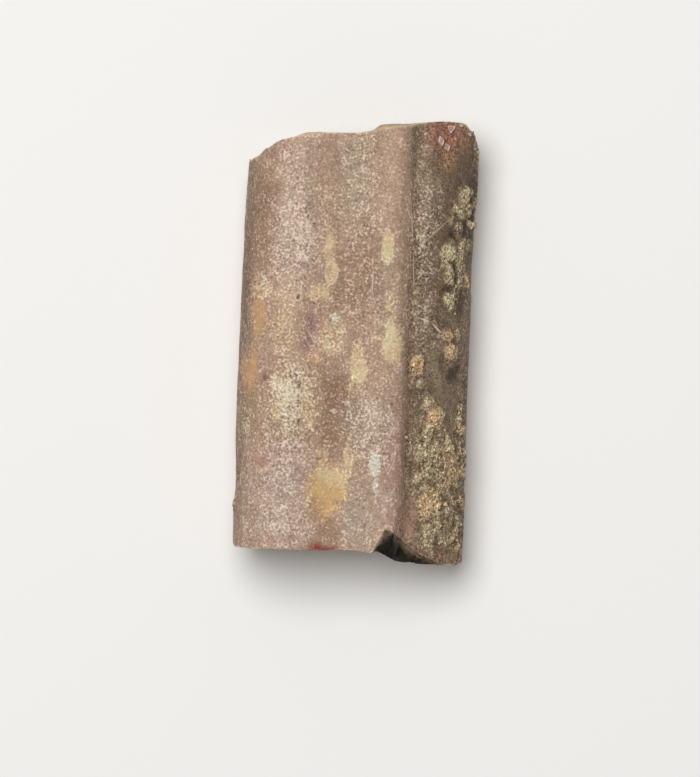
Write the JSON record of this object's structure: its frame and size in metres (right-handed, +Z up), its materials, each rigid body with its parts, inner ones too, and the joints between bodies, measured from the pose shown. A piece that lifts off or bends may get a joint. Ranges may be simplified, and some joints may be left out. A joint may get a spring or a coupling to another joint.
{
  "type": "fossil sail spine section",
  "caption": "Short broken length of a fossil sail spine lying on its side: rounded ridges with a groove between them, a steep step to a sloping flank, and rough fractured ends.",
  "frame": {"origin": "bottom centre of the bounding box, on the surface that the piece lies on", "axes": "+X across the spine towards the sloping flank, +Y along the spine from the foot fracture with the notch to the stepped tip fracture, +Z up out of the ridged front face"},
  "size_m": [0.016, 0.0306, 0.0097],
  "materials": {
    "fossil_bone": "dull natural mineralised bone, mauve brown with ochre and cream stains and fused rock matrix"
  },
  "bodies": {
    "root": {"spine_section": "fossil_bone"}
  },
  "joints": []
}
